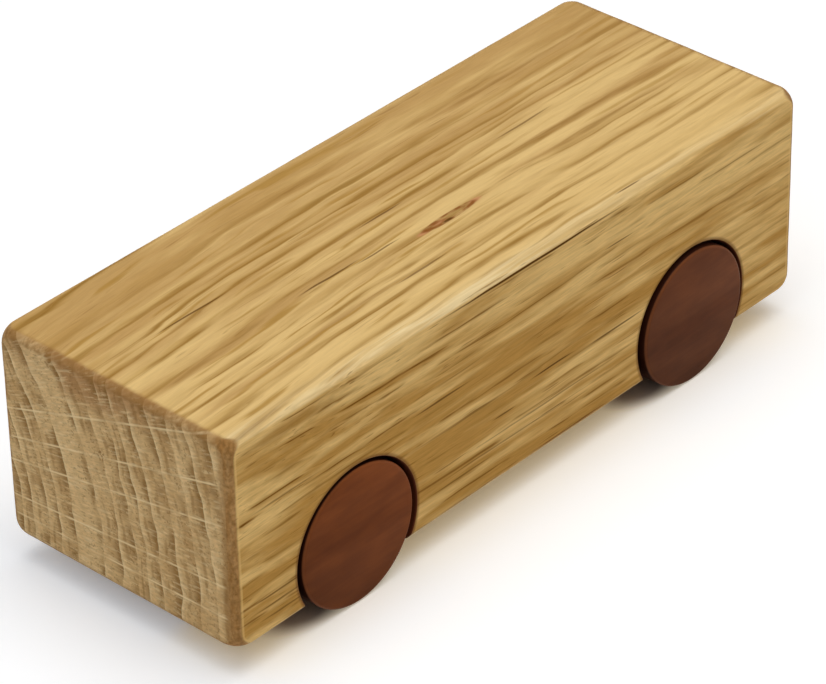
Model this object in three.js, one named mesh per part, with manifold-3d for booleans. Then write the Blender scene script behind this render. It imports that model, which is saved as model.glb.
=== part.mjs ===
// Wooden toy car in millimetres: a solid oak block that rolls on four dark wooden wheels.
// +X is the front, +Y the car's left side and +Z is up.
// The origin lies on the floor, under the middle of the block.
import * as THREE from 'three';
import { RoundedBoxGeometry } from 'three/addons/geometries/RoundedBoxGeometry.js';
import { mergeVertices } from 'three/addons/utils/BufferGeometryUtils.js';
import Module from 'manifold-3d';

// Block
const BLOCK_LENGTH = 140;
const BLOCK_WIDTH = 51;
const BLOCK_HEIGHT = 40;
const EDGE_EASE = 1.5; // radius sanded along the twelve edges
const CORNER_RUB = 4; // radius of the flatter rub that takes down the eight corners only

// Wheels
const WHEEL_DIAMETER = 26;
const WHEEL_THICKNESS = 10;
const WHEEL_FACE_WALL = 3.5; // wood left between the axle's end and the plain outer face
const RIM_EASE = 0.6; // radius on the rim of the outer face
const INNER_CHAMFER = 0.5; // chamfer on the rim of the hidden inner face

// Axles
const AXLE_DIAMETER = 8;
const AXLE_END_CHAMFER = 0.6;
const AXLE_FROM_END = 28; // from either end of the block
const BORE_ABOVE_UNDERSIDE = 7.4;

// Fits
const POCKET_CLEARANCE = 1; // round the wheel, in its pocket
const POCKET_MOUTH_EASE = 0.3; // chamfer on the pocket's edge in the side face
const WHEEL_PROUD = 0.5; // how far a wheel stands out of the side face, with the axle centred
const END_FLOAT = 0.8; // between a wheel and its pocket's floor, with the axle centred
const RESTING_SHIFT = 0.3; // each wheelset has slid this far along its bore: front to the right, rear left
const AXLE_CLEARANCE = 0.7; // round the axle, in its bore
const AXLE_SEAT_GAP = 0.3; // over the axle, where the block rests on it
const GLUE_GAP = 0.3; // between the axle and the socket that it is glued into

// Facets
const WHEEL_SIDES = 48;
const AXLE_SIDES = 32;
const EDGE_STEPS = 3;
const CORNER_STEPS = 5;
const RIM_STEPS = 4;

// Sizes that follow from those above
const wheelRadius = WHEEL_DIAMETER / 2;
const axleRadius = AXLE_DIAMETER / 2;
const pocketRadius = wheelRadius + POCKET_CLEARANCE;
const boreRadius = axleRadius + AXLE_CLEARANCE;
const socketRadius = axleRadius + GLUE_GAP;
const socketDepth = WHEEL_THICKNESS - WHEEL_FACE_WALL;
const sideFace = BLOCK_WIDTH / 2;
const wheelInnerFace = sideFace + WHEEL_PROUD - WHEEL_THICKNESS;
const pocketFloor = wheelInnerFace - END_FLOAT;
const axleLength = 2 * (wheelInnerFace + socketDepth - GLUE_GAP);
const boreHeight = wheelRadius - (AXLE_CLEARANCE - AXLE_SEAT_GAP);
const underside = boreHeight - BORE_ABOVE_UNDERSIDE;
const axleX = BLOCK_LENGTH / 2 - AXLE_FROM_END;

const oak = new THREE.MeshStandardMaterial({ color: 0xc8a564, roughness: 0.55, metalness: 0 });
const darkWood = new THREE.MeshStandardMaterial({ color: 0x623720, roughness: 0.42, metalness: 0 });
const dowelWood = new THREE.MeshStandardMaterial({ color: 0xcfab77, roughness: 0.6, metalness: 0 });

const wasm = await Module();
wasm.setup();

// A closed geometry as a solid that can be cut.
function toSolid(geometry) {
  const bare = geometry.clone();
  bare.deleteAttribute('normal');
  bare.deleteAttribute('uv');
  const merged = mergeVertices(bare);
  const mesh = new wasm.Mesh({
    numProp: 3,
    vertProperties: new Float32Array(merged.attributes.position.array),
    triVerts: new Uint32Array(merged.index.array),
  });
  return new wasm.Manifold(mesh);
}

// A cut solid as a geometry again.
function toGeometry(solid) {
  const mesh = solid.getMesh();
  const geometry = new THREE.BufferGeometry();
  geometry.setAttribute('position', new THREE.BufferAttribute(mesh.vertProperties, mesh.numProp));
  geometry.setIndex(new THREE.BufferAttribute(mesh.triVerts, 1));
  geometry.computeVertexNormals();
  return geometry;
}

// A shape turned about the Y axis, from outline points [radius, y] that start and end on the axis.
function turned(points, sides) {
  const profile = points.map(([radius, y]) => new THREE.Vector2(radius, y));
  return new THREE.LatheGeometry(profile, sides);
}

// Outline points of a quarter round that leads from a rim's side over to its face at y.
function rimRound(radius, y, ease) {
  const points = [];
  for (let step = 0; step <= RIM_STEPS; step += 1) {
    const angle = (step / RIM_STEPS) * (Math.PI / 2);
    points.push([radius - ease + ease * Math.cos(angle), y - ease + ease * Math.sin(angle)]);
  }
  return points;
}

// The planed block: every edge is eased.
// A larger rounded box then shaves the eight corners without reaching the edges.
function easedBlock() {
  const standOff = (CORNER_RUB - EDGE_EASE) * (1 - Math.SQRT1_2);
  const edges = new RoundedBoxGeometry(BLOCK_LENGTH, BLOCK_WIDTH, BLOCK_HEIGHT, EDGE_STEPS, EDGE_EASE);
  const corners = new RoundedBoxGeometry(
    BLOCK_LENGTH + 2 * standOff,
    BLOCK_WIDTH + 2 * standOff,
    BLOCK_HEIGHT + 2 * standOff,
    CORNER_STEPS,
    CORNER_RUB,
  );
  const middle = underside + BLOCK_HEIGHT / 2;
  edges.translate(0, 0, middle);
  corners.translate(0, 0, middle);
  return toSolid(edges).intersect(toSolid(corners));
}

// What the drills take out for one axle: a bore right through, and a flat-bottomed pocket from each side.
// A pocket's mouth flares by its eased edge, and the cutters run on past the side faces.
function axleCut() {
  const past = BLOCK_WIDTH / 2;
  const bore = turned([[0, -past], [boreRadius, -past], [boreRadius, past], [0, past]], AXLE_SIDES);
  const flare = pocketRadius + POCKET_MOUTH_EASE;
  const pocket = turned([
    [0, pocketFloor],
    [pocketRadius, pocketFloor],
    [pocketRadius, sideFace - POCKET_MOUTH_EASE],
    [flare, sideFace],
    [flare, sideFace + past],
    [0, sideFace + past],
  ], WHEEL_SIDES);
  const left = toSolid(pocket);
  const right = toSolid(pocket.clone().rotateZ(Math.PI));
  return toSolid(bore).add(left).add(right);
}

// The car's body: the block with both axles' bores and wheel pockets, which break out of the underside.
function bodyBlock() {
  const cut = axleCut();
  const front = cut.translate([axleX, 0, boreHeight]);
  const rear = cut.translate([-axleX, 0, boreHeight]);
  const solid = easedBlock().subtract(front).subtract(rear);
  const mesh = new THREE.Mesh(toGeometry(solid), oak);
  mesh.name = 'body_block';
  return mesh;
}

// A wheel: a plain disc with an eased rim.
// The blind socket for the axle is in its hidden inner face, at y = 0.
function wheelGeometry() {
  return turned([
    [0, socketDepth],
    [socketRadius, socketDepth],
    [socketRadius, 0],
    [wheelRadius - INNER_CHAMFER, 0],
    [wheelRadius, INNER_CHAMFER],
    ...rimRound(wheelRadius, WHEEL_THICKNESS, RIM_EASE),
    [0, WHEEL_THICKNESS],
  ], WHEEL_SIDES);
}

// An axle: a plain dowel with chamfered ends.
function axleGeometry() {
  const end = axleLength / 2;
  return turned([
    [0, -end],
    [axleRadius - AXLE_END_CHAMFER, -end],
    [axleRadius, AXLE_END_CHAMFER - end],
    [axleRadius, end - AXLE_END_CHAMFER],
    [axleRadius - AXLE_END_CHAMFER, end],
    [0, end],
  ], AXLE_SIDES);
}

// An axle with a wheel glued to each end: the three pieces turn together.
function wheelset(name, x, shift) {
  const group = new THREE.Group();
  const axle = new THREE.Mesh(axleGeometry(), dowelWood);
  axle.name = `${name}_axle`;
  const left = new THREE.Mesh(wheelGeometry(), darkWood);
  left.name = `${name}_left_wheel`;
  left.position.y = wheelInnerFace;
  const right = new THREE.Mesh(wheelGeometry(), darkWood);
  right.name = `${name}_right_wheel`;
  right.position.y = -wheelInnerFace;
  right.rotation.z = Math.PI;
  group.add(axle, left, right);
  group.position.set(x, shift, wheelRadius);
  return group;
}

const car = new THREE.Group();
car.add(bodyBlock());
car.add(wheelset('front', axleX, -RESTING_SHIFT));
car.add(wheelset('rear', -axleX, RESTING_SHIFT));

export default car;
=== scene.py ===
# A wooden toy car: one block of oak that rolls on four dark wooden wheels.
# Metres: +X is the front, +Y the car's left side, +Z is up, and the floor lies at z = 0.
import math

import bpy
import numpy as np
from mathutils import Matrix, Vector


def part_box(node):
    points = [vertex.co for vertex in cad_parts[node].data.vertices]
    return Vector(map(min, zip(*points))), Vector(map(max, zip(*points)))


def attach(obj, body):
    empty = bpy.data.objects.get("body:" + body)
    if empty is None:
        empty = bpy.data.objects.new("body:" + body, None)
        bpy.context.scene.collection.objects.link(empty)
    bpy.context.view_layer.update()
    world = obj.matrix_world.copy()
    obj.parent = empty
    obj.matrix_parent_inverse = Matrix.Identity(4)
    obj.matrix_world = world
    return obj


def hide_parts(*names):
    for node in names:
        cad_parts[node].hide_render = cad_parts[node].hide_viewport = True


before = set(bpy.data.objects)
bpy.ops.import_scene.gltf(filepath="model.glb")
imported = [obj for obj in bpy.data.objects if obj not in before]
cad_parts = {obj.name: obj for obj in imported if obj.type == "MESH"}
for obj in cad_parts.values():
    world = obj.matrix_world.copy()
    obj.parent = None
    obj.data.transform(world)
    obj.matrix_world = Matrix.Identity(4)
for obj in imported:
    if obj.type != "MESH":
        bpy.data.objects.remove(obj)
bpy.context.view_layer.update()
scene = bpy.context.scene
scene.view_settings.view_transform = "Standard"

# Camera: a long lens from the car's front left, tipped down and rolled a little, as the photograph was taken.
# Its bearing, height angle, roll and reach put the block's edges where the photograph has them.
PHOTO_SIZE = (826, 684)  # pixels
BLOCK_MIDDLE_PIXEL = (414.4, 304.75)  # where the middle of the block lies in the photograph
CAMERA_BEARING = math.radians(132.76)
CAMERA_HEIGHT_ANGLE = math.radians(33.8)
CAMERA_ROLL = math.radians(1.2245)
CAMERA_REACH = 0.739  # along the view, from the lens to the block's middle
LENS = 192.7  # millimetres
SENSOR = 36.0  # millimetres, across the picture's width


def corners_of(node):
    """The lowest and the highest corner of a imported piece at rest, as arrays."""
    low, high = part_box(node)
    return np.array(low), np.array(high)


def placed(name, data):
    """A new object in the scene, made from its data."""
    thing = bpy.data.objects.new(name, data)
    scene.collection.objects.link(thing)
    return thing


def standing(axes, place):
    """The matrix that stands an object at a place, turned to three square axes given as columns."""
    return Matrix(np.column_stack([axes, place]).tolist() + [[0, 0, 0, 1]])


block_low, block_high = corners_of("body_block")
block_middle = (block_low + block_high) / 2
back = np.array([
    math.sin(CAMERA_BEARING) * math.cos(CAMERA_HEIGHT_ANGLE),
    -math.cos(CAMERA_BEARING) * math.cos(CAMERA_HEIGHT_ANGLE),
    math.sin(CAMERA_HEIGHT_ANGLE),
])
level = np.array([math.cos(CAMERA_BEARING), math.sin(CAMERA_BEARING), 0.0])
plumb = np.cross(level, back)
right = math.cos(CAMERA_ROLL) * level + math.sin(CAMERA_ROLL) * plumb
down = math.cos(CAMERA_ROLL) * plumb - math.sin(CAMERA_ROLL) * level
metres_per_pixel = CAMERA_REACH * SENSOR / (LENS * PHOTO_SIZE[0])
offset = (np.array(BLOCK_MIDDLE_PIXEL) - np.array(PHOTO_SIZE) / 2) * metres_per_pixel
eye = block_middle + CAMERA_REACH * back - offset[0] * right - offset[1] * down
camera_data = bpy.data.cameras.new("camera")
camera_data.lens = LENS
camera_data.sensor_width = SENSOR
camera_data.sensor_fit = "HORIZONTAL"
camera = placed("camera", camera_data)
camera.matrix_world = standing(np.column_stack([right, -down, back]), eye)
scene.camera = camera


# Floor: a wide sheet of white paper that runs out of sight under the car and takes its soft shadow.
# To the eye it glows a little, so that away from the car it reaches the white of the backdrop.
# Near the car the glow is painted shadow and light: it fades out towards the block and by the left wheels,
# where the paper is also painted brown as shadow, and it is tinted cool before the front end and warm along
# the left side as painted bounce light.
FLOOR_REACH = 3.0
WHITE = (1.0, 1.0, 1.0, 1.0)
PAPER_WHITE = (0.86, 0.86, 0.86, 1.0)
PAPER_GLOW = 0.3
PAINTED_CONTACT_SHADOW = (-0.016, 0.001)  # painted shadow: the glow fades in between these distances from the block's outline
PAINTED_COOL_LIGHT = (0.88, 0.92, 1.0, 1.0)  # painted cool light: tint of the glow before the front end
PAINTED_COOL_FROM = (0.055, 0.07)  # along X
PAINTED_WARM_BOUNCE = (1.0, 0.78, 0.44, 1.0)  # painted bounce light: warm tint of the glow along the left side, for the colour it throws down
PAINTED_WARM_FROM = (0.006, 0.012)  # along Y
PAINTED_WARM_TO = (0.018, 0.036)
PAINTED_WARM_ENDS = (0.06, 0.075)  # along X, both ways
# painted shadow: the paper's colour in the dark patch by each left wheel
PAINTED_WHEEL_SHADOW_BROWN = (0.56, 0.46, 0.4, 1.0)
PAINTED_WHEEL_SHADOW = (0.0082, 0.0046, 1.0)  # reach of the painted shadow, a dark patch under the front of a wheel
PAINTED_WHEEL_SHADOW_SHIFT = (0.0068, -0.001, 0.0)  # from the wheel's middle
PAINTED_WHEEL_SHADOW_FADE = (0.6, 1.4)  # shares of its reach between which the patch fades out
SHADOW_REACH = (0.2, 0.5)  # the paper is plain white to the eye beyond the second distance from the car


class Finish:
    """A node tree, with one short method for each kind of node that the finishes are mixed from.

    A source is a number, a vector, a colour or another node's output, such as a method gives back."""

    def __init__(self, owner):
        self.owner = owner
        owner.use_nodes = True
        self.tree = owner.node_tree
        self.tree.nodes.clear()

    def add(self, kind, sources, result=0, **settings):
        """One node of a kind, with its settings and its sources by socket name or number."""
        node = self.tree.nodes.new("ShaderNode" + kind)
        for name, value in settings.items():
            setattr(node, name, value)
        self.join(node, sources)
        return node.outputs[result] if node.outputs else node

    def join(self, node, sources):
        """Links or writes each source into its socket."""
        for socket, source in sources.items():
            if isinstance(source, bpy.types.NodeSocket):
                self.tree.links.new(source, node.inputs[socket])
            else:
                node.inputs[socket].default_value = source

    def done(self, surface, kind="OutputMaterial"):
        """Joins the surface to the tree's output and gives the finished material or world."""
        self.add(kind, {"Surface": surface})
        return self.owner

    def number(self, operation, *values):
        """One step of arithmetic."""
        return self.add("Math", dict(enumerate(values)), operation=operation)

    def total(self, first, *others):
        """All the numbers added up."""
        for other in others:
            first = self.number("ADD", first, other)
        return first

    def product(self, first, *others):
        """All the numbers multiplied."""
        for other in others:
            first = self.number("MULTIPLY", first, other)
        return first

    def gap(self, first, second):
        """How far apart two numbers are."""
        return self.number("ABSOLUTE", self.number("SUBTRACT", first, second))

    def vector(self, operation, *values, result="Vector"):
        """One step of arithmetic with vectors."""
        return self.add("VectorMath", dict(enumerate(values)), result, operation=operation)

    def length(self, vector):
        """How long a vector is."""
        return self.vector("LENGTH", vector, result="Value")

    def axes(self, vector):
        """The X, Y and Z of a vector, by name."""
        return self.add("SeparateXYZ", {0: vector}).node.outputs

    def place(self):
        """Where a point of the piece lies, in metres."""
        return self.add("TexCoord", {}, "Object")

    def between(self, value, low, high, start=0.0, end=1.0):
        """A smooth step from start to end as the value goes from low to high."""
        sources = dict(enumerate((value, low, high, start, end)))
        return self.add("MapRange", sources, interpolation_type="SMOOTHSTEP")

    def hump(self, value, rise, fall):
        """A smooth step from 0 to 1 over the two values of the rise, and back to 0 over those of the fall."""
        return self.product(self.between(value, *rise), self.between(value, *fall, 1.0, 0.0))

    def noise(self, point, grain_size, detail=1.0):
        """Cloudy noise from 0 to 1, with features about as large along X, Y and Z as the grain size says."""
        scaled = self.vector("DIVIDE", point, grain_size)
        return self.add("TexNoise", {"Vector": scaled, "Scale": 1.0, "Detail": detail})

    def wander(self, point, grain_size):
        """The same noise, about 0."""
        return self.number("SUBTRACT", self.noise(point, grain_size), 0.5)

    def lot(self, whole):
        """A number from 0 to 1 that is drawn anew for each whole number."""
        return self.add("TexWhiteNoise", {"W": whole}, "Value", noise_dimensions="1D")

    def spot(self, point, middle, reach):
        """How far a point lies from a middle, as a share of the reach along X, Y and Z."""
        offset = self.vector("SUBTRACT", point, middle)
        return self.length(self.vector("DIVIDE", offset, reach))

    def patch(self, point, middle, reach, inner, outer, depth):
        """A depth that holds round a middle and fades out between two shares of the reach."""
        return self.between(self.spot(point, middle, reach), inner, outer, depth, 0.0)

    def mixed(self, share, under, over):
        """One colour laid over another by its share."""
        return self.add("Mix", {0: share, 6: under, 7: over}, 2, data_type="RGBA")

    def shaded(self, colour, brightness):
        """A colour made darker or lighter by a factor near 1."""
        return self.add("VectorMath", {0: colour, "Scale": brightness}, operation="SCALE")

    def seen_directly(self):
        """1 for the camera and for mirror and glass rays, 0 for the light that bounces about."""
        path = self.tree.nodes.new("ShaderNodeLightPath").outputs
        mirrored = self.number("MAXIMUM", path["Is Glossy Ray"], path["Is Transmission Ray"])
        return self.number("MAXIMUM", path["Is Camera Ray"], mirrored)


def tone(red, green, blue):
    """A colour as seen on a screen, 0 to 255, as the linear colour that a shader takes."""
    screen = np.array([red, green, blue]) / 255
    linear = np.where(screen > 0.04045, ((screen + 0.055) / 1.055) ** 2.4, screen / 12.92)
    return (*linear.tolist(), 1.0)


def paper_finish():
    """White paper that glows to the eye; the glow fades as painted shadow under the block and by its left
    wheels.
    """
    paper = Finish(bpy.data.materials.new("white_paper"))
    place = paper.place()
    half_block = ((block_high - block_low) / 2).tolist()
    past = paper.axes(paper.vector("SUBTRACT", paper.vector("ABSOLUTE", place), half_block))
    beyond = paper.number("MAXIMUM", past["X"], past["Y"])
    direct = paper.seen_directly()
    far = paper.product(paper.between(beyond, *SHADOW_REACH), direct)
    # painted shadow by each left wheel: no glow there, and the paper painted brown
    clear = 1.0
    for wheel in ("front_left_wheel", "rear_left_wheel"):
        low, high = corners_of(wheel)
        patch = (low + high) / 2 + np.array(PAINTED_WHEEL_SHADOW_SHIFT)
        patch[2] = 0.0
        outside = paper.between(paper.spot(place, patch.tolist(), PAINTED_WHEEL_SHADOW), *PAINTED_WHEEL_SHADOW_FADE)
        clear = paper.number("MINIMUM", outside, clear)
    # painted shadow: the glow fades out towards the block and is gone by the left wheels
    glow = paper.product(paper.between(beyond, *PAINTED_CONTACT_SHADOW, 0.0, PAPER_GLOW), direct, clear)
    # painted light: the glow is tinted cool before the front end and warm along the left side
    axes = paper.axes(place)
    painted_light_tint = paper.mixed(paper.between(axes["X"], *PAINTED_COOL_FROM), WHITE, PAINTED_COOL_LIGHT)
    painted_bounce_share = paper.hump(axes["Y"], PAINTED_WARM_FROM, PAINTED_WARM_TO)
    painted_bounce_share = paper.product(painted_bounce_share, paper.between(paper.number("ABSOLUTE", axes["X"]), *PAINTED_WARM_ENDS, 1.0, 0.0))
    painted_light_tint = paper.mixed(painted_bounce_share, painted_light_tint, PAINTED_WARM_BOUNCE)
    # painted shadow: the paper's colour turns brown by the left wheels
    lit = paper.add("BsdfDiffuse", {"Color": paper.mixed(clear, PAINTED_WHEEL_SHADOW_BROWN, PAPER_WHITE)})
    shine = paper.add("Emission", {"Color": painted_light_tint, "Strength": glow})
    near = paper.add("AddShader", {0: lit, 1: shine})
    plain = paper.add("Emission", {"Strength": 1.0})
    return paper.done(paper.add("MixShader", {0: far, 1: near, 2: plain}))


corners = FLOOR_REACH * np.array([[-1, -1, 0], [1, -1, 0], [1, 1, 0], [-1, 1, 0]])
floor_mesh = bpy.data.meshes.new("floor")
floor_mesh.from_pydata(corners.tolist(), [], [(0, 1, 2, 3)])
floor_mesh.materials.append(paper_finish())
floor = placed("floor", floor_mesh)


# Studio light: one large soft box over the car in an even white room, with a cool fill from the front and a
# warm one from the left. Together they light a level surface so that its colour renders about as written.
ROOM_LIGHT = 0.28
BOX_REACH = 1.0
BOX_SIDE = 0.9
SOFT_BOXES = {  # direction from the car, power in watts and colour
    "overhead_box": ((-0.05, 0.06, 1.0), 6.5, (1.0, 1.0, 1.0)),
    "front_fill": ((0.7, 0.0, 0.7), 1.5, (0.74, 0.87, 1.0)),
    "left_fill": ((0.0, 0.75, 0.66), 0.9, (1.0, 0.82, 0.58)),
}

room = Finish(bpy.data.worlds.new("white_room"))
strength = room.between(room.seen_directly(), 0.0, 1.0, ROOM_LIGHT, 1.0)
scene.world = room.done(room.add("Background", {"Color": WHITE, "Strength": strength}), "OutputWorld")


def frame_facing(toward):
    """Three square axes, as columns, with the last one along the direction given and the first level."""
    last = np.array(toward) / np.linalg.norm(toward)
    first = np.cross([0.0, 0.0, 1.0], last)
    first /= np.linalg.norm(first)
    return np.column_stack([first, np.cross(last, first), last])


for name, (toward, power, colour) in SOFT_BOXES.items():
    light = bpy.data.lights.new(name, "AREA")
    light.size = BOX_SIDE
    light.energy = power
    light.color = colour
    soft_box = placed(name, light)
    axes = frame_facing(toward)
    soft_box.matrix_world = standing(axes, block_middle + BOX_REACH * axes[:, 2])


# Body block: one piece of oak, planed square, its edges sanded round and its corners rubbed rounder by hand.
# Two through bores carry the axles, and a flat-bottomed bit drills a pocket for each wheel.
# The pockets break out of the underside.
WHEELSETS = ("front", "rear")
EDGE_EASE = 0.0015
EDGE_WAVER = 0.00003  # how far the sanded radius strays along an edge
WAVER_LENGTH = 0.021
WAVER_WAY = (1.0, 1.7, 2.3)  # how fast it runs along X, Y and Z
SLOW_WAVER = (0.43, 1.0)  # share of that speed, and start, of the second wave
CORNER_RUB = 0.004  # radius of the flatter rub that takes down a corner only
NEAR_CORNER_RUB = 0.0048  # the same at the front left bottom corner, the most worn
POCKET_CLEARANCE = 0.001  # round the wheel
POCKET_DEPTH = 0.0103
POCKET_MOUTH_EASE = 0.0003
MOUTH_STEPS = 7
BORE_CLEARANCE = 0.0007  # round the axle
AXLE_LIFT = -0.0004  # of the bore's middle from the axle's, because the block rests on its axles
LATTICE_FINE = 0.0001  # step between the block's points at its edges
LATTICE_COARSE = 0.0022  # and in the middle of its faces
LATTICE_STEPS = 22  # from the one to the other
LATHE_SIDES = 128
SHARP_ANGLE = math.radians(32)
BORED_MARGIN = 0.00005


def finished_mesh(name, points, faces, finish):
    """A mesh from arrays of points and faces, smooth but for its sharp edges."""
    mesh = bpy.data.meshes.new(name)
    mesh.from_pydata(points.tolist(), [], faces)
    mesh.shade_smooth()
    mesh.set_sharp_from_angle(angle=SHARP_ANGLE)
    mesh.materials.append(finish)
    return mesh


def turned(profile, centre, sides=LATHE_SIDES):
    """A profile of (radius, y) points carried round an axis along Y through the centre.

    Point i of the profile at step k of the turn lies at (radius_i cos a_k, y_i, radius_i sin a_k).
    The first and last points lie on the axis and close the form as poles."""
    radius, along = np.array(profile).T
    turn = np.linspace(0, 2 * math.pi, sides, endpoint=False)
    rings = np.stack(np.broadcast_arrays(
        radius[1:-1, None] * np.cos(turn),
        along[1:-1, None],
        radius[1:-1, None] * np.sin(turn),
    ), axis=-1)
    poles = np.array([[0, along[0], 0], [0, along[-1], 0]])
    points = np.concatenate([rings.reshape(-1, 3), poles]) + centre
    number = np.arange(rings.shape[0] * sides).reshape(-1, sides)
    following = np.roll(number, -1, axis=1)
    walls = np.stack([number[:-1], number[1:], following[1:], following[:-1]], -1).reshape(-1, 4)
    first, last = len(points) - 2, len(points) - 1
    start = np.stack([np.full(sides, first), number[0], following[0]], -1)
    end = np.stack([np.full(sides, last), following[-1], number[-1]], -1)
    return points, walls.tolist() + start.tolist() + end.tolist()


def quarter_round(radius, along, ease, steps):
    """The eased edge of a turned profile: (radius + ease (1 - cos a), along - |ease| (1 - sin a)).

    The angle a goes over a quarter turn. A positive ease flares a mouth, and a negative one rounds a rim."""
    swing = np.linspace(0, math.pi / 2, steps)
    curve = np.column_stack([
        radius + ease * (1 - np.cos(swing)),
        along - abs(ease) * (1 - np.sin(swing)),
    ])
    return [tuple(point) for point in curve]


def lattice(low, high):
    """Places from low to high that lie close together near both ends and wide apart in the middle.

    The steps grow by one factor from the fine one at an end to the coarse one, and are even between."""
    steps = np.geomspace(LATTICE_FINE, LATTICE_COARSE, LATTICE_STEPS)
    reach = np.cumsum(np.concatenate([[0.0], steps]))
    count = 2 + int((high - low - 2 * reach[-1]) / LATTICE_COARSE)
    middle = np.linspace(low + reach[-1], high - reach[-1], count)
    return np.concatenate([low + reach[:-1], middle, (high - reach[:-1])[::-1]])


def on_ball(points, low, high, radius):
    """Points pulled in onto a ball of that radius rolled inside a box: q + radius (p - q) / |p - q|.

    q is the point p held a radius inside every face, and a point already within the ball's reach stays."""
    core = np.clip(points, low + radius, high - radius)
    outward = points - core
    length = np.linalg.norm(outward, axis=1, keepdims=True)
    return np.where(length > radius, core + radius * outward / np.maximum(length, radius), points)


def eased_block():
    """The skin of a lattice of points in the block's box, rolled by a small ball and then by a larger one.

    The small ball eases the edges, and its radius wavers along them by two sines. The larger one rolls in a
    box that stands off just so far that it meets the eased edges, and so it shaves the corners alone."""
    places = [lattice(low, high) for low, high in zip(block_low, block_high)]
    grid = np.stack(np.meshgrid(*places, indexing="ij"), -1)
    skin = np.ones(grid.shape[:3], bool)
    skin[1:-1, 1:-1, 1:-1] = False
    number = np.full(skin.shape, -1)
    number[skin] = np.arange(skin.sum())
    flat = grid[skin]
    phase = flat @ np.array(WAVER_WAY) * (2 * math.pi / WAVER_LENGTH)
    slower, start = SLOW_WAVER
    waver = EDGE_WAVER * (np.sin(phase) + np.sin(slower * phase + start))
    points = on_ball(flat, block_low, block_high, EDGE_EASE + waver[:, None])
    most_worn = (flat > block_middle) == np.array([True, True, False])
    rub = np.where(most_worn.all(axis=1), NEAR_CORNER_RUB, CORNER_RUB)[:, None]
    stand_off = (rub - EDGE_EASE) * (1 - math.sqrt(0.5))
    points = on_ball(points, block_low - stand_off, block_high + stand_off, rub)
    faces = []
    for axis in range(3):
        for end, turn in ((0, -1), (-1, 1)):
            sheet = np.moveaxis(number, [(axis + 1) % 3, (axis + 2) % 3], [0, 1])[..., end]
            quads = np.stack([sheet[:-1, :-1], sheet[1:, :-1], sheet[1:, 1:], sheet[:-1, 1:]], -1)
            faces += quads.reshape(-1, 4)[:, ::turn].tolist()
    return points, faces


def pocket_of(wheelset):
    """The middle of a wheelset's left wheel, set to the bore's height, and the radius of its pocket."""
    low, high = corners_of(wheelset + "_left_wheel")
    middle = (low + high) / 2 + np.array([0.0, 0.0, AXLE_LIFT])
    return middle, (high[0] - low[0]) / 2 + POCKET_CLEARANCE


def wheel_cut(wheelset):
    """The form that the drills take out for one wheelset: a profile turned about the bore's axis.

    From the middle it follows the bore to the pocket's floor, the pocket to its eased mouth and on past the
    side of the block, and the right half is the left half turned over."""
    middle, pocket = pocket_of(wheelset)
    axle_low, axle_high = corners_of(wheelset + "_axle")
    bore = (axle_high[0] - axle_low[0]) / 2 + BORE_CLEARANCE
    side = block_high[1]
    pocket_floor = side - POCKET_DEPTH
    past = 2 * side
    mouth = quarter_round(pocket, side, POCKET_MOUTH_EASE, MOUTH_STEPS)
    half = [(bore, 0.0), (bore, pocket_floor), (pocket, pocket_floor), *mouth]
    half += [(mouth[-1][0], past), (0.0, past)]
    profile = [(radius, -along) for radius, along in half[::-1]] + half[1:]
    return turned(profile, np.array([middle[0], 0.0, middle[2]]))


OAK_GOLD = tone(227, 191, 126)
OAK_TAN = tone(195, 155, 95)
OAK_LATE = tone(176, 134, 64)
OAK_LINE = tone(138, 96, 28)
OAK_SIDE = tone(233, 195, 125)
OAK_SIDE_BROWN = tone(188, 142, 70)
OAK_PORE = tone(124, 76, 10)
# painted highlight along the left edges
OAK_EDGE_HIGHLIGHT = tone(242, 218, 168)
END_PALE = tone(238, 211, 160)
END_BROWN = tone(196, 157, 103)
END_TAN = tone(222, 186, 131)
END_DARK = tone(136, 98, 48)
END_STAIN = tone(172, 126, 78)
# painted shade on the eased edges over and under the sawn ends
END_EDGE_SHADE = tone(152, 110, 62)
END_CORNER = tone(152, 106, 54)
# the drilled wood inside the pockets, darkened further as painted shade
BORED_WOOD_AND_SHADE = tone(84, 40, 22)
# a darker tone round the pocket mouths
POCKET_MOUTH_DARK = tone(104, 58, 26)
KNOT_PINK = tone(206, 142, 98)
KNOT_BROWN = tone(140, 84, 34)
KNOT_DARK = tone(92, 56, 6)
MILLIMETRE = 1000.0  # to the metre: all places in the oak are in millimetres from the middle of the block
PAST_ALL = 1000.0  # a reach beyond the whole block
PITH = (0.0, -93.0, -18.0)  # middle of the tree
RING_BEND = (60.0, 95.0, 1.6)  # radius that rings bend by: the least, in the middle, and more per step left
FIRST_RING = 64.0
RING_WIDTHS = (
    3.2, 3.3, 2.5, 3.6, 2.6, 3.8, 6.1, 4.1, 3.5, 2.3, 3.2, 4.3, 4.3, 3.8, 4.4, 4.5, 4.5, 5.0,
)
PALE_YEAR = (85.8, 1.6, 3.0)  # a wide year of pale wood: its middle, and where its tone starts and ends
FAINT_YEAR_END = 89.1  # the line at its end is faint on the roof
PALE_LINES_TOP = (16.5, 18.5)  # between these heights the pale start of each year fades out on the sawn ends
GRAIN_DRIFT = 4.0  # how far the grain runs off to the right from the front end on
DRIFT_STOP = -20.0  # the X where it has done so
SWAY_MOST = 5.0
SWAY_START = 35.0  # the length from the front end over which the sway grows to its most
RIPPLE_MOST = 1.6
RAGGED_MOST = (1.1, 0.25)  # along the grain, and on the sawn ends
STRAY_UP = 0.5  # share of the stray that also goes up
LAYER_SWAY = 1.4
LAYERS_PER_MILLIMETRE = 0.42  # up the sides
STAIN = (70.0, -6.0, 19.0)
STAIN_REACH = (30.0, 20.0, 6.5)
FLECK = (70.0, -3.1, 5.4)  # a patch of broken fibres on the front end
FLECK_REACH = (5.0, 0.9, 1.4)
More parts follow.
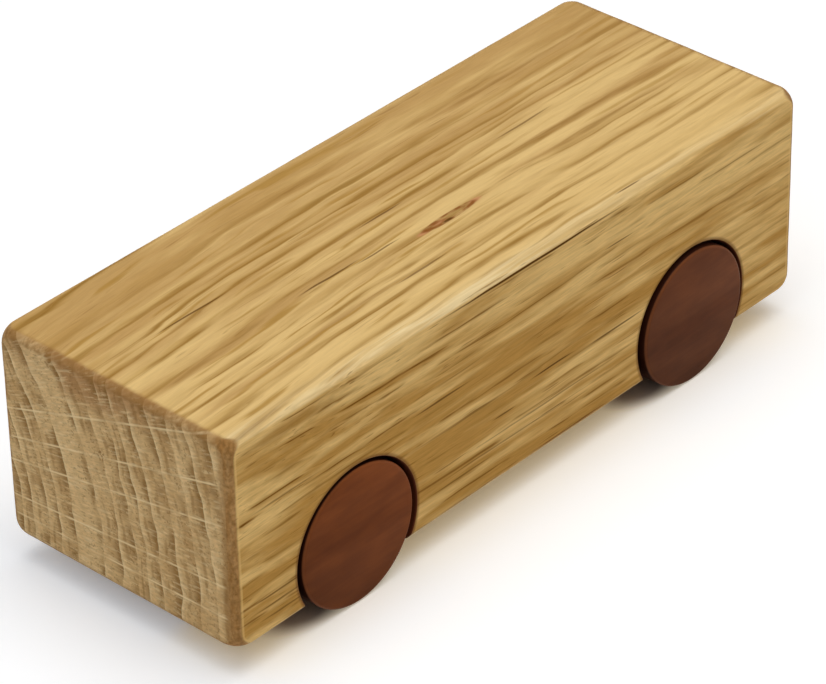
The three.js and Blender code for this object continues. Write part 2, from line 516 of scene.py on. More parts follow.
NEAR_EDGE = (22.4, 24.0)  # from here to there, towards the left edge, the sawn end is browner
RAY_BEARINGS = (0.323, 0.25, 0.187, 0.088, 0.036, -0.011)  # radians, from the pith
RAY_SPAN = 95.0  # a radius from the pith, to turn a bearing into a length
EDGE_HIGHLIGHT_STRIP = (21.8, 24.0)  # the Y over which the painted highlight along the left edges starts
LEFT_FACE = (24.0, 25.0)  # the Y over which the left side's own marks start
END_ROUND = (68.0, 69.2)  # the X over which the eased edges of the ends start
HIGHLIGHT_LINE_END = (66.0, 67.5)  # the X over which their painted highlight line starts
WOBBLE_MOST = (0.0, 0.6, 0.4)
RELIEF_DEPTH = 0.0001  # in metres, of the bump in all three woods
OAK_NOISE = {  # size of each feature's noise along X, Y and Z, or on the ends along X, radius and bearing
    "sway": (95.0, 38.0, 38.0),
    "ripple": (40.0, 6.0, 6.0),
    "ragged lines": (11.0, 1.2, 1.2),
    "roof streaks": (26.0, 2.4, 2.4),
    "roof breaks": (24.0, 1.8, 1.8),
    "roof roughness": (14.0, 0.8, 0.8),
    "roof half years": (22.0, 1.5, 1.5),
    "side streaks": (38.0, 2.8, 2.8),
    "side layers": (60.0, 9.0, 9.0),
    "side breaks": (17.0, 1.6, 1.6),
    "end zones": (12.0, 5.0, 9.0),
    "end patches": (8.0, 4.0, 6.0),
    "end half years": (8.0, 2.2, 5.0),
    "fine rays": (6.0, 3.2, 0.45),
    "end speckle": (5.0, 1.6, 0.5),
    "end pores": (4.0, 0.5, 0.4),
    "fleck": (0.5, 0.5, 0.5),
    "knot": (2.2, 0.6, 2.0),
    # the next noise streaks the painted edge highlight
    "rub": (22.0, 1.1, 1.1),
    "fibre": (4.5, 0.32, 0.32),
    "pores": (13.0, 0.4, 0.4),
    "wobble across": (9.0, 4.0, 4.0),
    "wobble up": (12.0, 4.0, 4.0),
    "sawn edge": (3.0, 1.2, 1.2),
    "corner stain": (1.1, 1.1, 4.0),
    "corner roughness": (0.5, 0.5, 0.8),
    "relief": (12.0, 0.4, 0.4),
}
LEVEL_IN_Y = 1  # which of X, Y and Z the level in a row below stands for
LEVEL_IN_Z = 2
SLIT_FADE = (0.45, 1.0)  # shares of its reach between which a row's tone fades out
BAND_FADE = (0.2, 1.1)
SIDE_SLITS = (  # open pores that stand out on the left side: X from and to, Z, half width and depth of tone
    (27.0, -29.0, 18.7, 0.3, 1.0),
    (30.0, 14.0, 3.6, 0.26, 0.8),
    (1.0, -12.5, -3.9, 0.26, 0.9),
    (-12.5, -31.0, -4.6, 0.26, 0.8),
    (10.0, 3.0, -7.1, 0.22, 0.8),
    (31.0, 0.0, -3.0, 0.3, 0.4),
    (-18.0, -27.0, 12.2, 0.22, 0.7),
    (67.0, 49.0, 4.8, 0.24, 0.5),
    (20.0, -26.0, -10.5, 0.24, 0.5),
    (26.0, -18.0, -12.6, 0.24, 0.5),
    (72.0, 40.0, 16.9, 1.2, 0.16),
    (68.0, 52.0, -12.4, 0.24, 0.7),
    (68.0, 51.0, -14.3, 0.26, 0.6),
    (66.0, 52.0, -16.4, 0.24, 0.6),
    (27.0, 8.0, -14.0, 0.24, 0.6),
)
ROOF_SLITS = (  # the same on the roof, with Y in place of Z
    (57.0, 37.5, -4.6, 0.28, 0.8),
    (34.0, 17.0, 4.9, 0.3, 0.8),
    (21.0, 8.0, 5.6, 0.24, 0.7),
    (13.0, -0.5, -1.5, 0.24, 0.7),
    (-22.0, -40.0, -3.0, 0.28, 0.6),
    (-23.0, -31.0, 23.7, 0.24, 0.8),
    (21.0, 6.0, 14.5, 0.3, 0.6),
)
ROOF_LINES = (  # year ends that stand out on the roof, by the same list along the grain
    (70.0, 34.0, 7.4, 0.6, 0.5),
    (50.0, 2.0, 17.4, 0.7, 0.55),
    (-8.0, -70.0, 6.1, 0.6, 0.6),
    (-14.0, -70.0, 10.1, 0.6, 0.55),
    (-8.0, -68.0, -12.3, 0.6, 0.5),
)
ROOF_BANDS = (  # paler wood, above 0, and browner wood, below 0, along the grain on the roof
    (75.0, 0.0, 7.4, 1.8, -0.34),
    (75.0, 0.0, 17.4, 1.6, -0.36),
    (75.0, -10.0, -10.0, 2.0, 0.14),
    (75.0, 0.0, 14.2, 1.4, 0.16),
    (75.0, -5.0, 24.0, 2.4, 0.2),
    (-4.0, -76.0, 1.2, 3.2, 0.24),
    (-4.0, -76.0, 6.1, 1.4, -0.26),
    (-4.0, -76.0, 9.9, 1.4, -0.28),
    (-4.0, -76.0, 25.0, 1.8, 0.4),
    (-4.0, -76.0, 20.6, 1.2, 0.16),
    (-4.0, -76.0, -15.3, 1.6, 0.14),
    (-4.0, -76.0, -8.0, 1.6, 0.1),
)
SIDE_BANDS = (  # the same on the left side, with Z in place of Y
    (40.0, -36.0, 11.8, 2.2, -0.12),
    (36.0, -36.0, 2.0, 1.6, -0.14),
    (40.0, -34.0, -10.6, 1.8, 0.15),
    (75.0, -40.0, -15.4, 1.5, 0.1),
    (40.0, -34.0, 15.6, 1.3, 0.1),
    (76.0, 52.0, 1.0, 7.0, 0.1),
    (62.0, 20.0, 5.8, 1.6, 0.13),
    (62.0, 22.0, 14.4, 1.2, -0.1),
    (-16.0, -84.0, 17.0, 2.6, -0.24),
    (-20.0, -56.0, 10.0, 1.8, -0.14),
    (-52.0, -84.0, 15.2, 2.0, -0.22),
    (-52.0, -84.0, 10.4, 1.6, 0.12),
    (-52.0, -84.0, 1.4, 1.6, 0.14),
    (-52.0, -84.0, -7.0, 4.2, -0.14),
    (78.0, 50.0, -9.6, 3.2, -0.14),
    (-50.0, -80.0, 6.0, 2.0, -0.12),
    (-50.0, -80.0, -13.0, 1.3, 0.14),
    (-50.0, -80.0, -17.4, 1.6, -0.12),
)
KNOT = (-1.0, 7.35, 20.0)  # a small sound knot in the roof
KNOT_REACH = (6.8, 0.95, 2.0)
KNOT_HEART = (2.6, 7.4, 20.0)
KNOT_HEART_REACH = (4.2, 0.7, 2.0)
KNOT_TIPS = ((5.6, 7.6, 20.0), (1.6, 7.3, 20.0), (-7.4, 7.2, 20.0))  # where it is pink
KNOT_TIP_REACH = (2.0, 0.6, 2.0)
KNOT_EYE = (0.0, 7.9, 20.0)
KNOT_EYE_REACH = (1.5, 0.32, 1.0)


def oak_growth(oak, sawn):
    """How the tree grew through the block, in millimetres from its middle.

    A point's radius is its distance to the left of the pith, and its height over the pith squared, over twice
    the radius that the rings bend by there. All is swayed by noise that is long along the grain. The radius
    counts the years by a curve through the ring widths: the whole part is the year, the rest its phase."""
    point = oak.vector("MULTIPLY", oak.vector("SUBTRACT", oak.place(), block_middle), (MILLIMETRE,) * 3)
    along = oak.axes(point)["X"]
    front = MILLIMETRE * (block_high[0] - block_middle[0])
    loose = oak.between(along, front, front - SWAY_START, 0.0, SWAY_MOST)
    sway = oak.product(oak.wander(point, OAK_NOISE["sway"]), loose)
    ripple = oak.product(oak.wander(point, OAK_NOISE["ripple"]), RIPPLE_MOST)
    ragged = oak.wander(point, OAK_NOISE["ragged lines"])
    ragged = oak.product(ragged, oak.between(sawn, 0.0, 1.0, *RAGGED_MOST))
    stray = oak.total(sway, ripple, ragged)
    drift = oak.number("MAXIMUM", oak.number("SUBTRACT", along, DRIFT_STOP), 0.0)
    drift = oak.product(drift, drift, -GRAIN_DRIFT / (front - DRIFT_STOP) ** 2)
    drift = oak.total(drift, GRAIN_DRIFT, stray)
    strayed = oak.add("CombineXYZ", {"Y": drift, "Z": oak.product(stray, STRAY_UP)})
    grain = oak.vector("ADD", point, strayed)
    spoke = oak.axes(oak.vector("SUBTRACT", grain, PITH))
    least, middle, more = RING_BEND
    bend = oak.number("MULTIPLY_ADD", spoke["Y"], more, middle + more * PITH[1])
    bend = oak.product(oak.number("MAXIMUM", bend, least), 2.0)
    rise = oak.number("DIVIDE", oak.product(spoke["Z"], spoke["Z"]), bend)
    radius = oak.total(spoke["Y"], rise)
    years = oak.tree.nodes.new("ShaderNodeFloatCurve")
    curve = years.mapping.curves[0]
    ends = np.cumsum(RING_WIDTHS)
    for year, end in enumerate(ends[:-1], 1):
        curve.points.new(end / ends[-1], year / len(ends))
    for ring in curve.points:
        ring.handle_type = "VECTOR"
    years.mapping.update()
    oak.join(years, {"Value": oak.number("DIVIDE", oak.number("SUBTRACT", radius, FIRST_RING), ends[-1])})
    year = oak.product(years.outputs[0], float(len(ends)))
    return point, grain, radius, oak.number("FLOOR", year), oak.number("FRACT", year)


def streak(oak, point, row, across, fade):
    """One row of a list of streaks along the grain: its depth, fading out to its sides and both ends."""
    start, end, level, half_width, depth = row
    middle = [(start + end) / 2, 0.0, 0.0]
    middle[across] = level
    reach = [abs(end - start) / 2, PAST_ALL, PAST_ALL]
    reach[across] = half_width
    return oak.patch(point, middle, reach, *fade, depth)


def slit_tone(oak, point, slits, across):
    """The darkest of a list of thin open pores along the grain, each tapering to its two ends."""
    darkest = 0.0
    for row in slits:
        darkest = oak.number("MAXIMUM", darkest, streak(oak, point, row, across, SLIT_FADE))
    return darkest


def chosen_bands(oak, grain, bands, across):
    """The sum of a list of soft bands along the grain."""
    return oak.total(0.0, *(streak(oak, grain, row, across, BAND_FADE) for row in bands))


def year_end(oak, phase, before, after):
    """1 where a year ends, rising over the phases before it and falling over the start of the next year."""
    return oak.number("MAXIMUM", oak.between(phase, *before), oak.between(phase, 0.0, after, 1.0, 0.0))


def half_year(oak, phase, middle):
    """A thin line at one phase of every year."""
    return oak.between(oak.gap(phase, middle), 0.02, 0.16, 1.0, 0.0)


def roof_grain(oak, grain, radius, year, phase):
    """Faces across the rings: paler to the left, and browner towards each year's end, a line of open pores.

    The lines are broken by noise, fainter to the rear, and hidden where a band of paler wood was chosen."""
    place = oak.axes(grain)
    chosen = chosen_bands(oak, grain, ROOF_BANDS, LEVEL_IN_Y)
    leftward = oak.between(place["Y"], -12.0, 22.0, -0.14, 0.24)
    cloud = oak.total(oak.noise(grain, OAK_NOISE["roof streaks"], 2.0), leftward, chosen)
    colour = oak.mixed(oak.between(cloud, 0.26, 0.74), OAK_TAN, OAK_GOLD)
    clearer = oak.between(place["X"], -50.0, 10.0, 0.72, 1.0)
    broken = oak.product(
        oak.between(oak.lot(year), 0.0, 1.0, 0.5, 1.0),
        oak.between(oak.noise(grain, OAK_NOISE["roof breaks"], 2.0), 0.36, 0.58, 0.25, 1.0),
        oak.between(oak.gap(radius, FAINT_YEAR_END), 1.0, 2.6, 0.45, 1.0),
        oak.between(chosen, 0.05, 0.3, 1.0, 0.2),
        clearer,
    )
    closing = year_end(oak, phase, (0.5, 0.95), 0.16)
    colour = oak.mixed(oak.product(closing, broken, 0.8), colour, OAK_LATE)
    line = year_end(oak, phase, (0.78, 0.97), 0.12)
    colour = oak.mixed(oak.product(line, broken, 0.7), colour, OAK_LINE)
    rough = oak.between(oak.noise(grain, OAK_NOISE["roof roughness"], 2.0), 0.35, 0.6, 0.4, 1.0)
    for row in ROOF_LINES:
        line = streak(oak, grain, row, LEVEL_IN_Y, BAND_FADE)
        colour = oak.mixed(oak.product(line, rough), colour, OAK_LINE)
    faint = oak.between(oak.noise(grain, OAK_NOISE["roof half years"], 2.0), 0.46, 0.6, 0.0, 0.85)
    return oak.mixed(oak.product(half_year(oak, phase, 0.45), faint, clearer), colour, OAK_LATE)


def side_grain(oak, grain):
    """Faces along the rings: soft bands of gold and brown, with a broken line where each layer runs out.

    They are paler towards the roof as painted light, a little paler towards both ends, and the lines are
    fainter to the rear."""
    place = oak.axes(grain)
    # painted light: paler towards the roof
    lit_towards_roof = oak.between(place["Z"], 0.0, 20.0, -0.07, 0.1)
    rearward = oak.between(place["X"], 30.0, -60.0, -0.05, 0.08)
    frontward = oak.between(place["X"], 48.0, 62.0, 0.0, 0.1)
    paler = oak.total(lit_towards_roof, rearward, frontward, chosen_bands(oak, grain, SIDE_BANDS, LEVEL_IN_Z))
    cloud = oak.total(oak.noise(grain, OAK_NOISE["side streaks"], 2.0), paler)
    colour = oak.mixed(oak.between(cloud, 0.32, 0.68), OAK_SIDE_BROWN, OAK_SIDE)
    height = oak.product(place["Z"], LAYERS_PER_MILLIMETRE)
    layer = oak.number("MULTIPLY_ADD", oak.noise(grain, OAK_NOISE["side layers"]), LAYER_SWAY, height)
    bold = oak.between(oak.lot(oak.number("FLOOR", layer)), 0.0, 1.0, 0.35, 1.0)
    apart = oak.gap(oak.number("FRACT", layer), 0.5)
    broken = oak.between(oak.noise(grain, OAK_NOISE["side breaks"], 2.0), 0.45, 0.62)
    broken = oak.product(broken, oak.between(place["X"], -65.0, -5.0, 0.5, 1.0))
    soft = oak.product(oak.between(apart, 0.0, 0.4, 0.7, 0.0), broken)
    colour = oak.mixed(soft, colour, OAK_LATE)
    line = oak.product(oak.between(apart, 0.03, 0.12, 1.0, 0.0), broken, bold)
    return oak.mixed(line, colour, OAK_PORE)


def end_grain(oak, point, grain, radius, year, phase):
    """Sawn ends: greyer, each year pale at first and darkening outward, crossed by pale rays from the pith.

    The noise follows the rings, by the radius, and by the bearing from the pith as a length."""
    from_pith = oak.axes(oak.vector("SUBTRACT", point, PITH))
    bearing = oak.number("ARCTAN2", from_pith["Z"], from_pith["Y"])
    swung = oak.add("CombineXYZ", {0: from_pith["X"], 1: radius, 2: oak.product(bearing, RAY_SPAN)})
    zone = oak.between(oak.noise(swung, OAK_NOISE["end zones"], 2.0), 0.33, 0.67, 0.0, 0.7)
    zone = oak.total(zone, oak.product(oak.lot(year), 0.3))
    colour = oak.mixed(zone, END_BROWN, END_TAN)
    colour = oak.mixed(oak.patch(grain, STAIN, STAIN_REACH, 0.4, 1.2, 0.75), colour, END_STAIN)
    across = oak.total(from_pith["Y"], PITH[1])
    inward = oak.between(across, *NEAR_EDGE, 1.0, 0.0)
    colour = oak.mixed(oak.between(across, *NEAR_EDGE, 0.0, 0.6), colour, END_CORNER)
    patchy = oak.between(oak.noise(swung, OAK_NOISE["end patches"]), 0.34, 0.66)
    late = oak.product(oak.between(phase, 0.35, 0.97, 0.0, 0.8), oak.between(patchy, 0.0, 1.0, 0.25, 1.0))
    late = oak.product(late, oak.between(inward, 0.0, 1.0, 0.4, 1.0))
    colour = oak.mixed(late, colour, END_DARK)
    faint = oak.between(oak.noise(swung, OAK_NOISE["end half years"]), 0.4, 0.62, 0.0, 0.5)
    colour = oak.mixed(oak.product(half_year(oak, phase, 0.42), faint), colour, END_DARK)
    early = oak.product(oak.between(phase, 0.02, 0.25, 0.6, 0.0), oak.between(patchy, 0.0, 1.0, 0.1, 1.0))
    fading = [height - PITH[2] for height in PALE_LINES_TOP]
    early = oak.product(early, oak.between(from_pith["Z"], *fading, 1.0, 0.2), inward)
    colour = oak.mixed(early, colour, END_PALE)
    middle, start, end = PALE_YEAR
    colour = oak.mixed(oak.between(oak.gap(radius, middle), start, end, 0.8, 0.0), colour, END_TAN)
    fine_rays = oak.between(oak.noise(swung, OAK_NOISE["fine rays"], 2.0), 0.5, 0.7, 0.0, 0.4)
    colour = oak.mixed(oak.product(fine_rays, inward), colour, END_PALE)
    speckle = oak.between(oak.noise(swung, OAK_NOISE["end speckle"], 3.0), 0.28, 0.72, 0.87, 1.11)
    colour = oak.shaded(colour, speckle)
    pores = oak.between(oak.noise(swung, OAK_NOISE["end pores"]), 0.56, 0.7, 0.0, 0.55)
    colour = oak.mixed(oak.product(pores, oak.between(phase, 0.1, 0.8, 0.45, 1.0)), colour, END_DARK)
    fleck = oak.patch(point, FLECK, FLECK_REACH, 0.6, 1.1, 0.7)
    fleck = oak.product(fleck, oak.between(oak.noise(point, OAK_NOISE["fleck"]), 0.45, 0.55))
    colour = oak.mixed(fleck, colour, END_DARK)
    for ray in RAY_BEARINGS:
        apart = oak.product(oak.gap(bearing, ray), radius)
        share = oak.between(apart, 0.06, 0.26, 0.85, 0.0)
        share = oak.product(share, oak.between(patchy, 0.0, 1.0, 0.35, 1.0), inward)
        colour = oak.mixed(share, colour, END_PALE)
    return colour


def painted_edge_highlight(oak, grain, place, facing, colour):
    """A painted highlight along the edges of the left side, in pale streaks, most of all a little ahead of
    the middle.
    """
    highlight = oak.product(
        oak.between(place["Y"], *EDGE_HIGHLIGHT_STRIP),
        oak.between(facing["Z"], 0.15, 0.5),
        oak.between(place["X"], -25.0, 15.0, 0.45, 1.0),
        oak.between(place["X"], 30.0, 60.0, 1.0, 0.65),
        oak.between(oak.noise(grain, OAK_NOISE["rub"], 2.0), 0.35, 0.65, 0.2, 0.8),
    )
    return oak.mixed(highlight, colour, OAK_EDGE_HIGHLIGHT)


def fine_grain(oak, grain, place, sideways, fibre, colour):
    """Fine fibres, lighter and darker, and short open pores, both stronger on the sides than on the roof."""
    darkest = oak.between(sideways, 0.0, 1.0, 0.95, 0.9)
    palest = oak.between(sideways, 0.0, 1.0, 1.04, 1.09)
    colour = oak.shaded(colour, oak.between(fibre, 0.25, 0.75, darkest, palest))
    pores = oak.product(
        oak.between(oak.noise(grain, OAK_NOISE["pores"]), 0.64, 0.78),
        oak.between(sideways, 0.0, 1.0, 0.3, 0.6),
        oak.between(place["X"], -55.0, -20.0, 0.3, 1.0),
    )
    return oak.mixed(pores, colour, OAK_PORE)


def knot_grain(oak, point, colour):
    """A small sound knot: a broken brown outline, pink where it fades out, and a dark eye on its left."""
    for tip in KNOT_TIPS:
        colour = oak.mixed(oak.patch(point, tip, KNOT_TIP_REACH, 0.3, 1.1, 0.75), colour, KNOT_PINK)
    broken = oak.between(oak.noise(point, OAK_NOISE["knot"]), 0.35, 0.6, 0.35, 0.95)
    heart = oak.patch(point, KNOT_HEART, KNOT_HEART_REACH, 0.3, 1.1, 0.85)
    colour = oak.mixed(oak.product(heart, broken), colour, KNOT_BROWN)
    outline = oak.hump(oak.spot(point, KNOT, KNOT_REACH), (0.3, 0.7), (0.85, 1.1))
    colour = oak.mixed(oak.product(outline, broken), colour, KNOT_BROWN)
    return oak.mixed(oak.patch(point, KNOT_EYE, KNOT_EYE_REACH, 0.5, 1.0, 0.9), colour, KNOT_DARK)


def marks(oak, point, place, facing, colour):
    """The long open pores of the roof and the left side, and the knot, all a little unsteady in line."""
    wobble = oak.add("CombineXYZ", {
        "Y": oak.noise(point, OAK_NOISE["wobble across"]),
        "Z": oak.noise(point, OAK_NOISE["wobble up"]),
    })
    wobble = oak.vector("MULTIPLY", oak.vector("SUBTRACT", wobble, (0.0, 0.5, 0.5)), WOBBLE_MOST)
    wobbly = oak.vector("ADD", point, wobble)
    left = oak.between(place["Y"], *LEFT_FACE)
    top = oak.product(oak.between(facing["Z"], 0.7, 0.9), oak.between(place["Z"], 0.0, 1.0))
    side_slits = oak.product(slit_tone(oak, wobbly, SIDE_SLITS, LEVEL_IN_Z), left)
    roof_slits = oak.product(slit_tone(oak, wobbly, ROOF_SLITS, LEVEL_IN_Y), top)
    colour = oak.mixed(oak.number("MAXIMUM", side_slits, roof_slits), colour, KNOT_DARK)
    return knot_grain(oak, wobbly, colour)


def worn_and_painted_end_edges(oak, point, grain, place, facing, colour):
    """The eased edges of the sawn ends: painted shade over the top and below, stained and rough down the
    sides.

    A thin painted highlight runs down where a side turns into its eased edge."""
    endward = oak.number("ABSOLUTE", place["X"])
    # painted shade on the eased edges over the top and below
    over = oak.product(
        oak.between(endward, *END_ROUND),
        oak.between(facing["Z"], 0.02, 0.4),
        oak.between(oak.noise(grain, OAK_NOISE["sawn edge"], 2.0), 0.3, 0.7, 0.4, 0.85),
    )
    colour = oak.mixed(over, colour, END_EDGE_SHADE)
    round_side = oak.product(oak.between(facing["X"], 0.1, 0.5), oak.between(facing["Y"], 0.02, 0.2))
    uneven = oak.between(oak.noise(point, OAK_NOISE["corner stain"], 2.0), 0.3, 0.7, 0.1, 0.7)
    colour = oak.mixed(oak.product(round_side, uneven), colour, END_CORNER)
    rough = oak.between(oak.noise(point, OAK_NOISE["corner roughness"], 3.0), 0.28, 0.72, 0.8, 1.2)
    colour = oak.mixed(round_side, colour, oak.shaded(colour, rough))
    # painted highlight where a side turns into the eased edge of an end
    highlight_line = oak.product(
        oak.hump(facing["X"], (0.01, 0.06), (0.12, 0.3)),
        oak.between(facing["Z"], 0.1, 0.3, 0.5, 0.0),
        oak.between(endward, *HIGHLIGHT_LINE_END),
    )
    return oak.mixed(highlight_line, colour, OAK_SIDE)


def mouth_distance(oak, point):
    """The distance out of the nearer wheel pocket's wall, in millimetres."""
    nearest = PAST_ALL
    for wheelset in WHEELSETS:
        middle, radius = pocket_of(wheelset)
        spoke = oak.vector("SUBTRACT", point, MILLIMETRE * (middle - block_middle))
        spoke = oak.vector("MULTIPLY", spoke, (1.0, 0.0, 1.0))
        outside = oak.number("SUBTRACT", oak.length(spoke), MILLIMETRE * radius)
        nearest = oak.number("MINIMUM", nearest, outside)
    return nearest


def oak_finish():
    """Oiled oak: one growth that looks different on roof, sides and ends, with its marks, wear and painted
    light.

    The mesh's own attributes say which way a face points and whether it was bored, which takes painted shade."""
    oak = Finish(bpy.data.materials.new("oiled_oak"))
    facing = oak.axes(oak.add("Attribute", {}, "Vector", attribute_name="facing"))
    sawn = oak.between(facing["X"], 0.05, 0.4)
    sideways = oak.between(facing["Y"], 0.6, 0.85)
    point, grain, radius, year, phase = oak_growth(oak, sawn)
    place = oak.axes(point)
    fibre = oak.noise(grain, OAK_NOISE["fibre"], 2.0)
    colour = oak.mixed(sideways, roof_grain(oak, grain, radius, year, phase), side_grain(oak, grain))
    colour = painted_edge_highlight(oak, grain, place, facing, colour)
    colour = fine_grain(oak, grain, place, sideways, fibre, colour)
    colour = marks(oak, point, place, facing, colour)
    colour = oak.mixed(sawn, colour, end_grain(oak, point, grain, radius, year, phase))
    colour = worn_and_painted_end_edges(oak, point, grain, place, facing, colour)
    # darker round the pocket mouths on the sides
    mouth_darkening = oak.between(mouth_distance(oak, point), 0.3, 0.9, 0.6, 0.0)
    colour = oak.mixed(oak.product(mouth_darkening, sideways), colour, POCKET_MOUTH_DARK)
    # inside the pockets: the drilled wood's darker colour with painted shade
    bored = oak.add("Attribute", {}, "Fac", attribute_name="bored")
    colour = oak.mixed(bored, colour, BORED_WOOD_AND_SHADE)
    relief = oak.add("Bump", {
        "Strength": 0.2,
        "Distance": RELIEF_DEPTH,
        "Height": oak.noise(point, OAK_NOISE["relief"]),
    })
    surface = oak.add("BsdfPrincipled", {
        "Base Color": colour,
        "Roughness": oak.between(fibre, 0.3, 0.7, 0.58, 0.48),
        "Specular IOR Level": 0.04,
        "Normal": relief,
    })
    return oak.done(surface)


oak = oak_finish()
block = placed("oak_block", finished_mesh("oak_block", *eased_block(), oak))
for wheelset in WHEELSETS:
    cutter = placed("cutter", finished_mesh("cutter", *wheel_cut(wheelset), oak))
    drill = block.modifiers.new("drill", "BOOLEAN")
    drill.operation = "DIFFERENCE"
    drill.solver = "EXACT"
    drill.object = cutter
    drilled = block.evaluated_get(bpy.context.evaluated_depsgraph_get())
    drilled_mesh = bpy.data.meshes.new_from_object(drilled)
    block.modifiers.clear()
    block.data = drilled_mesh
    bpy.data.objects.remove(cutter)
block_mesh = block.data
block_mesh.shade_smooth()
block_mesh.set_sharp_from_angle(angle=SHARP_ANGLE)


def read(rows, name, width=3):
    """One value of every row of a mesh's list, as an array."""
    values = np.empty(width * len(rows), np.float32)
    rows.foreach_get(name, values)
    return values.reshape(-1, width)


facing = block_mesh.attributes.new("facing", "FLOAT_VECTOR", "CORNER")
facing.data.foreach_set("vector", np.abs(read(block_mesh.corner_normals, "vector")).ravel())
face_middle = read(block_mesh.polygons, "center")
within = np.zeros(len(face_middle), bool)
for wheelset in WHEELSETS:
    pocket_middle, pocket_radius = pocket_of(wheelset)
    outward = np.linalg.norm(face_middle[:, [0, 2]] - pocket_middle[[0, 2]], axis=1)
    within |= outward < pocket_radius + POCKET_MOUTH_EASE + BORED_MARGIN
within &= np.abs(face_middle[:, 1]) < block_high[1] - BORED_MARGIN
within &= face_middle[:, 2] > block_low[2] + BORED_MARGIN
bored = block_mesh.attributes.new("bored", "FLOAT", "FACE")
bored.data.foreach_set("value", within.astype(np.float32))
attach(block, "body")
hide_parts("body_block")


# Axles: two plain dowels of pale hardwood, cut square with their ends chamfered.
# Each runs loose through its bore and is glued into the wheels at its ends, which hide it.
AXLE_CHAMFER = 0.0006
DOWEL_PALE = tone(214, 184, 140)
DOWEL_BROWN = tone(182, 146, 100)
DOWEL_STRIPES = (0.0006, 0.02, 0.0006)  # size of its noise along X, Y and Z


def dowel_finish():
    """Pale hardwood with fine stripes along the dowel."""
    dowel = Finish(bpy.data.materials.new("pale_dowel"))
    stripe = dowel.between(dowel.noise(dowel.place(), DOWEL_STRIPES, 3.0), 0.3, 0.7)
    colour = dowel.mixed(stripe, DOWEL_PALE, DOWEL_BROWN)
    relief = dowel.add("Bump", {"Strength": 0.2, "Distance": RELIEF_DEPTH, "Height": stripe})
    return dowel.done(dowel.add("BsdfPrincipled", {"Base Color": colour, "Roughness": 0.6, "Normal": relief}))


def axle_form(wheelset):
    """A dowel turned about Y, its profile straight along its length with a flat chamfer to each end."""
    low, high = corners_of(wheelset + "_axle")
    radius = (high[0] - low[0]) / 2
    end = (high[1] - low[1]) / 2
    half = [(radius, end - AXLE_CHAMFER), (radius - AXLE_CHAMFER, end), (0.0, end)]
    profile = [(out, -along) for out, along in half[::-1]] + half
    return turned(profile, (low + high) / 2)


dowel = dowel_finish()
for wheelset in WHEELSETS:
    name = wheelset + "_axle"
    axle = placed(wheelset + "_dowel", finished_mesh(wheelset + "_dowel", *axle_form(wheelset), dowel))
    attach(axle, wheelset + "_wheelset")
    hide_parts(name)


# Wheels: discs of a dark red-brown hardwood, sanded smooth and oiled, with their rims eased.
# A blind socket in the hidden inner face takes the axle's end, so the outer face is plain wood.
WHEEL_WALL = 0.0035  # wood between the axle's end and the outer face
RIM_EASE = 0.0006
RIM_STEPS = 9
INNER_CHAMFER = 0.0005
SOCKET_CLEARANCE = 0.0003
WHEEL_WOODS = {
    "front": (tone(124, 65, 26), tone(104, 52, 18)),
    "rear": (tone(106, 58, 28), tone(90, 47, 22)),
}
WHEEL_RIM_HIGHLIGHT = tone(150, 94, 64)  # painted highlight on the eased rim
WHEEL_TREAD_SHADE = tone(46, 20, 10)  # painted shade on the tread, which lies in the pocket's shade
RIM_FADE = (0.9, 0.4)  # the rim's painted highlight fades in over these shares of its ease, in from the tread
TREAD_SHADE_FADE = (0.8, 0.35)  # and the tread's painted shade fades out over these, in from the face
WHEEL_LIT_WAY = (-0.5, 0.0, 0.87)  # across the disc, the way painted light makes it paler
WHEEL_BANDS = (0.03, 0.012, 0.005)  # sizes of its noise along X, Y and Z
WHEEL_FIBRES = (0.012, 0.004, 0.0006)
WHEEL_MOTTLE = (0.006, 0.006, 0.0026)


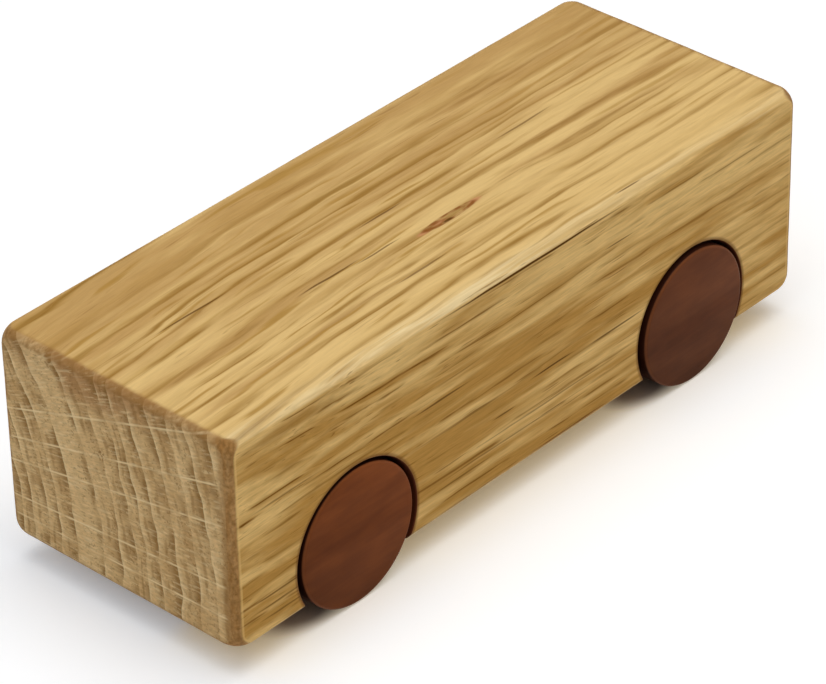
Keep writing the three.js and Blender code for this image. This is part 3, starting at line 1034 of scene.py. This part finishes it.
def wheel_finish(wheelset):
    """Dark oiled wood with its grain across the disc, painted paler one way, a painted rim highlight and a
    painted tread shade.
    """
    light, dark = WHEEL_WOODS[wheelset]
    low, high = corners_of(wheelset + "_left_wheel")
    axle_low, axle_high = corners_of(wheelset + "_axle")
    hub = (axle_low + axle_high) / 2
    radius = (high[0] - low[0]) / 2
    face = high[1] - hub[1]
    wood = Finish(bpy.data.materials.new(wheelset + "_wheel_wood"))
    place = wood.place()
    band = wood.between(wood.noise(place, WHEEL_BANDS, 2.0), 0.2, 0.8)
    colour = wood.mixed(band, light, dark)
    fibre = wood.between(wood.noise(place, WHEEL_FIBRES, 2.0), 0.25, 0.75, 0.94, 1.06)
    colour = wood.shaded(colour, fibre)
    mottle = wood.between(wood.noise(place, WHEEL_MOTTLE, 3.0), 0.3, 0.7, 0.9, 1.1)
    colour = wood.shaded(colour, mottle)
    from_hub = wood.vector("SUBTRACT", place, hub.tolist())
    # painted light: the face is paler towards the upper rear at rest and darker the other way
    paler = wood.vector("DOT_PRODUCT", from_hub, WHEEL_LIT_WAY, result="Value")
    colour = wood.shaded(colour, wood.between(paler, -radius, radius, 0.78, 1.2))
    out = wood.length(wood.vector("MULTIPLY", from_hub, (1.0, 0.0, 1.0)))
    along = wood.number("ABSOLUTE", wood.axes(from_hub)["Y"])
    rim = wood.between(out, *(radius - share * RIM_EASE for share in RIM_FADE))
    flat = wood.between(along, *(face - share * RIM_EASE for share in TREAD_SHADE_FADE), 1.0, 0.0)
    # painted highlight on the eased rim
    colour = wood.mixed(wood.product(rim, 0.18), colour, WHEEL_RIM_HIGHLIGHT)
    # painted shade on the tread, which lies in the pocket
    colour = wood.mixed(wood.product(rim, flat), colour, WHEEL_TREAD_SHADE)
    relief = wood.add("Bump", {"Strength": 0.15, "Distance": RELIEF_DEPTH, "Height": fibre})
    surface = wood.add("BsdfPrincipled", {
        "Base Color": colour,
        "Roughness": wood.between(band, 0.0, 1.0, 0.38, 0.48),
        "Specular IOR Level": 0.05,
        "Normal": relief,
    })
    return wood.done(surface)


def wheel_form(name, outward):
    """A disc turned about Y, from the blind socket in its inner face over the rim to its plain outer face."""
    low, high = corners_of(name)
    axle_low, axle_high = corners_of(name.split("_")[0] + "_axle")
    middle = (low + high) / 2
    thickness = high[1] - low[1]
    radius = (high[0] - low[0]) / 2
    socket = (axle_high[0] - axle_low[0]) / 2 + SOCKET_CLEARANCE
    inner, outer = -thickness / 2, thickness / 2
    depth = outer - WHEEL_WALL
    rim = quarter_round(radius, outer, -RIM_EASE, RIM_STEPS)
    profile = [(0.0, depth), (socket, depth), (socket, inner), (radius - INNER_CHAMFER, inner)]
    profile += [(radius, inner + INNER_CHAMFER), *rim, (0.0, outer)]
    points, faces = turned(profile, np.zeros(3))
    turn = np.array([outward, outward, 1.0])  # half a turn about Z for the right-hand wheels
    return points * turn + middle, faces


for wheelset in WHEELSETS:
    wood = wheel_finish(wheelset)
    for side, outward in (("left", 1.0), ("right", -1.0)):
        name = f"{wheelset}_{side}_wheel"
        wheel = placed(name + "_disc", finished_mesh(name + "_disc", *wheel_form(name, outward), wood))
        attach(wheel, wheelset + "_wheelset")
        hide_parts(name)
